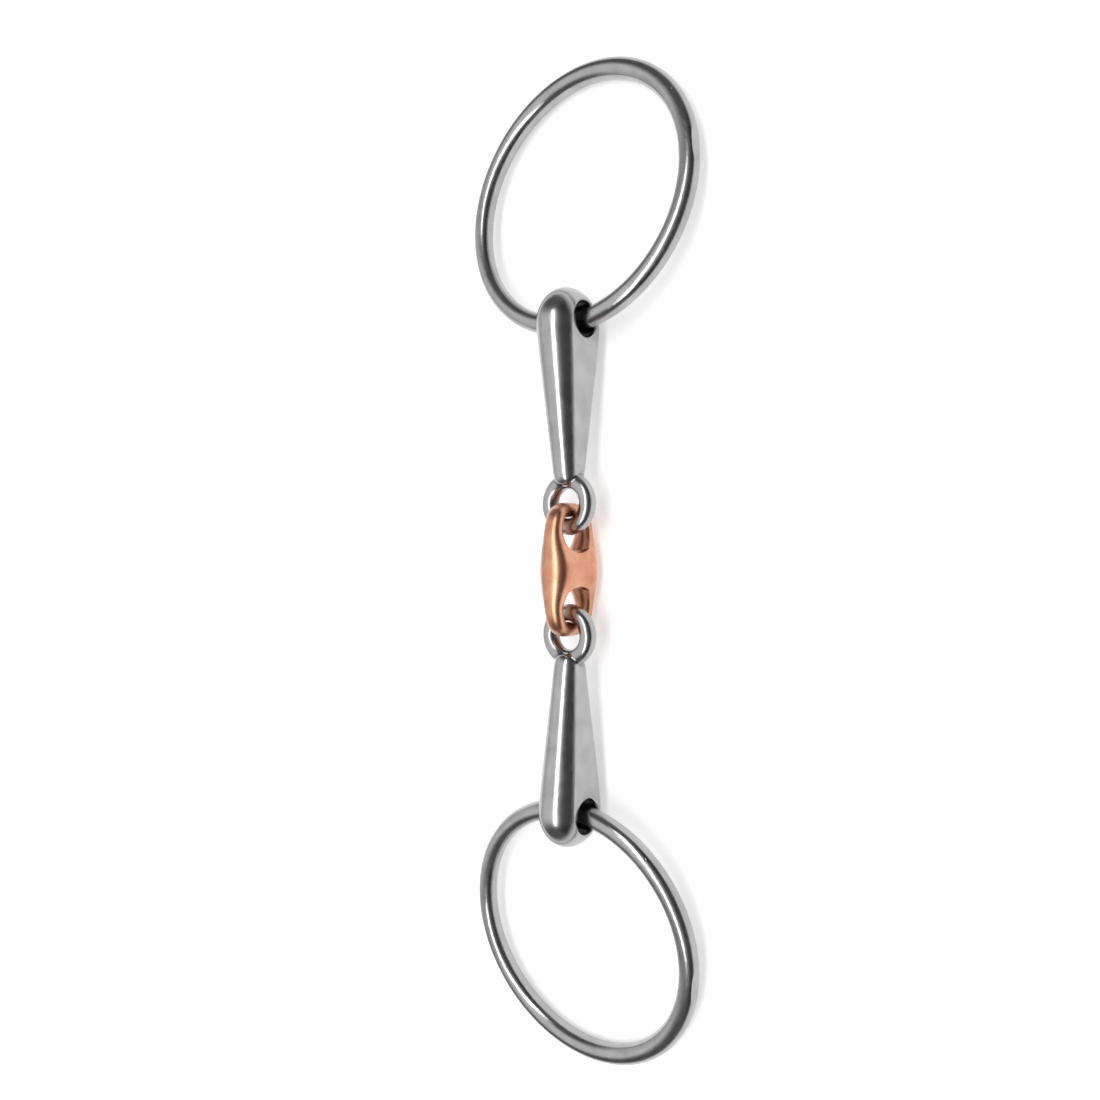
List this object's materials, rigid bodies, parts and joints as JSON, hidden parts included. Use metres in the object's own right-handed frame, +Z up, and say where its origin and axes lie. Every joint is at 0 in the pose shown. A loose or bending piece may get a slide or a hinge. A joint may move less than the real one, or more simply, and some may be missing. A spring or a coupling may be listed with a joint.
{
  "type": "snaffle bit",
  "caption": "Loose-ring snaffle bit for a bridle: round wire rings, tapering steel mouthpiece arms and a copper lozenge link joined by eyes.",
  "frame": {"origin": "on the surface the bit lies on, below the middle of the centre link", "axes": "+X along the mouthpiece to the right ring, +Y along the axes of the ring holes, +Z up from the surface"},
  "size_m": [0.2784, 0.075, 0.0204],
  "materials": {
    "steel_ring": "polished stainless steel wire, slightly brushed",
    "steel_arm": "polished stainless steel forging",
    "copper": "polished copper"
  },
  "bodies": {
    "centre_link": {"centre_link": "copper"},
    "left_arm": {"left_arm": "steel_arm"},
    "right_arm": {"right_arm": "steel_arm"},
    "left_ring": {"left_ring": "steel_ring"},
    "right_ring": {"right_ring": "steel_ring"}
  },
  "joints": [
    {"name": "left_arm_fold", "type": "hinge", "parent": "centre_link", "child": "left_arm", "pos_m": [-0.0117, 0, 0.0102], "axis": [0, 1, 0], "range_deg": [-40, 40]},
    {"name": "right_arm_fold", "type": "hinge", "parent": "centre_link", "child": "right_arm", "pos_m": [0.0117, 0, 0.0102], "axis": [0, -1, 0], "range_deg": [-40, 40]},
    {"name": "left_ring_swing", "type": "hinge", "parent": "left_arm", "child": "left_ring", "pos_m": [-0.06725, 0, 0.009], "axis": [0, 1, 0], "range_deg": [-90, 90]},
    {"name": "right_ring_swing", "type": "hinge", "parent": "right_arm", "child": "right_ring", "pos_m": [0.06725, 0, 0.009], "axis": [0, -1, 0], "range_deg": [-90, 90]}
  ]
}
